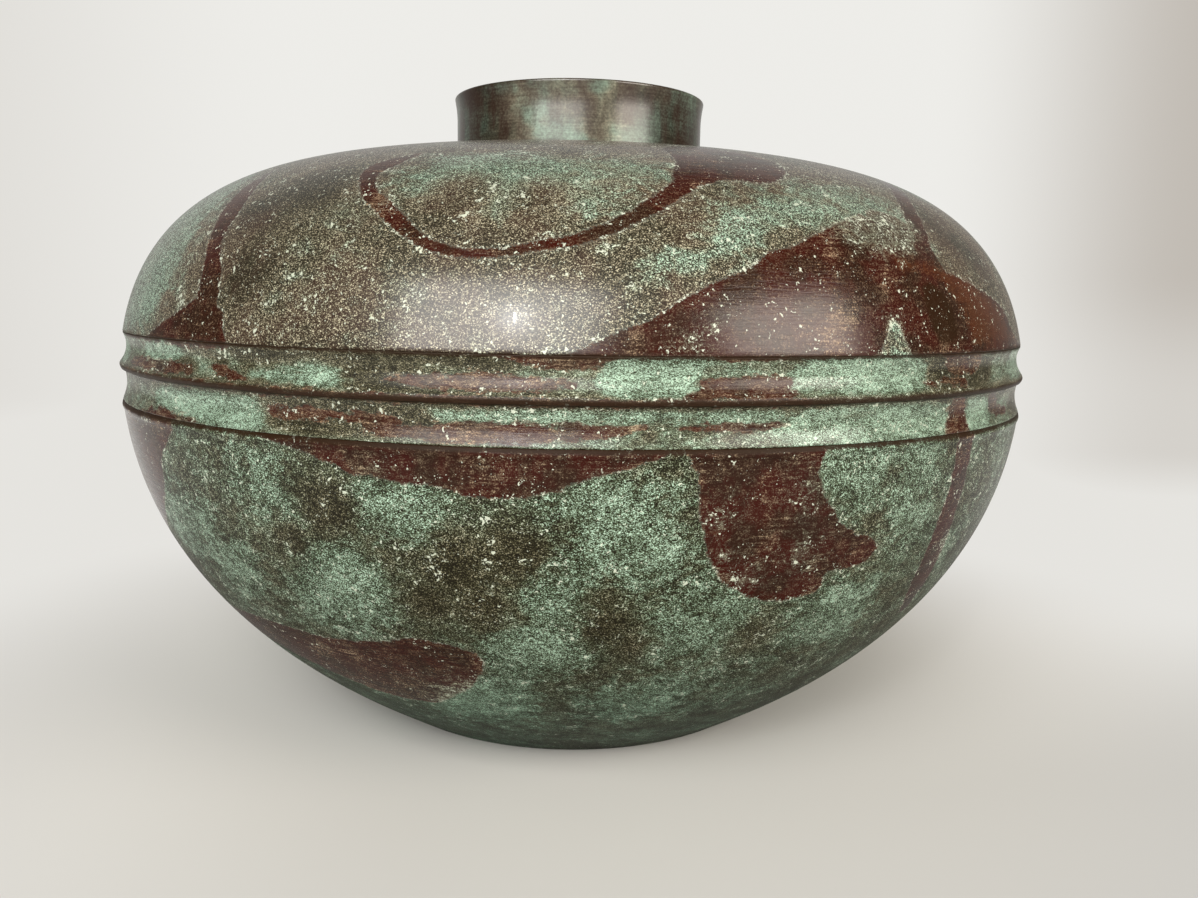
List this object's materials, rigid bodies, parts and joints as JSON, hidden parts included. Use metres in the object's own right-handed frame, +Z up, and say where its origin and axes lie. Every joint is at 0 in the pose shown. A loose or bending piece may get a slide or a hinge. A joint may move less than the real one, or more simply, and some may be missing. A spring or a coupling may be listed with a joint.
{
  "type": "flower vase",
  "caption": "Squat round bronze flower vase: a wide flattened body with a fluted band round its waist, a short flared neck and a flat foot ring.",
  "frame": {"origin": "on the floor, on the vase's own axis, at the middle of the foot ring", "axes": "+Z up along the vase's axis of turning, -Y towards the viewer of the picture, +X to the viewer's right"},
  "size_m": [0.2988, 0.2988, 0.206],
  "materials": {
    "bowl": "bronze with a mottled green patina over dark olive brown, satin",
    "shoulder": "bronze with a speckled brown and grey-green patina, satin, faint turning lines",
    "band": "bronze with a thick streaked green crust, matt",
    "neck": "bronze with a dull grey-green brown patina, satin",
    "underside": "bronze, dull brown, turned",
    "brazing_metal": "brazing metal, dull yellow"
  },
  "bodies": {
    "root": {"bowl_shell": "bowl", "shoulder_shell": "shoulder", "waist_band": "band", "neck_collar": "neck", "base_plate": "underside", "bowl_braze": "brazing_metal", "shoulder_braze": "brazing_metal", "neck_braze": "brazing_metal", "base_braze": "brazing_metal"}
  },
  "joints": []
}
